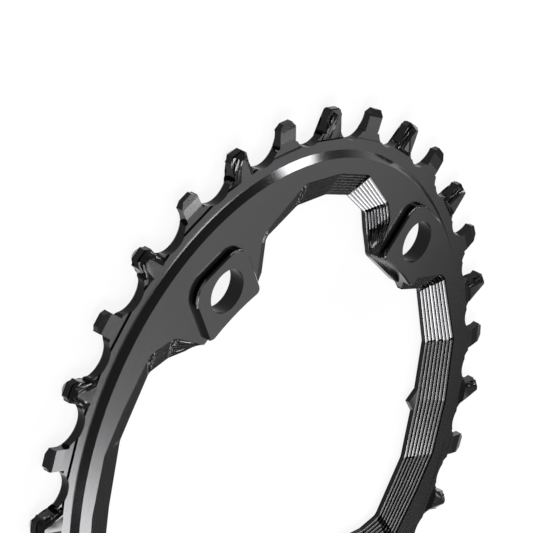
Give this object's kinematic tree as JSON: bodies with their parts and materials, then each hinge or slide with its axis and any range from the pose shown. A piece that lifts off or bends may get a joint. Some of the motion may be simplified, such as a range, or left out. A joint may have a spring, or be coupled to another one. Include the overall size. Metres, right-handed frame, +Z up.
{
  "type": "bicycle chainring",
  "caption": "Oval one-piece bicycle chainring with alternating narrow and wide teeth and raised bolt pads round a terraced open centre.",
  "frame": {"origin": "middle of the ring's outline seen along Z, at its lowest point, where it lies on a surface", "axes": "+Z up through the faces of the bolt pads, +Y midway between the two bolt pads that stand nearer to each other"},
  "size_m": [0.1278, 0.1386, 0.0054],
  "materials": {
    "black_anodised": "black anodised, satin"
  },
  "bodies": {
    "root": {"chainring": "black_anodised"}
  },
  "joints": []
}
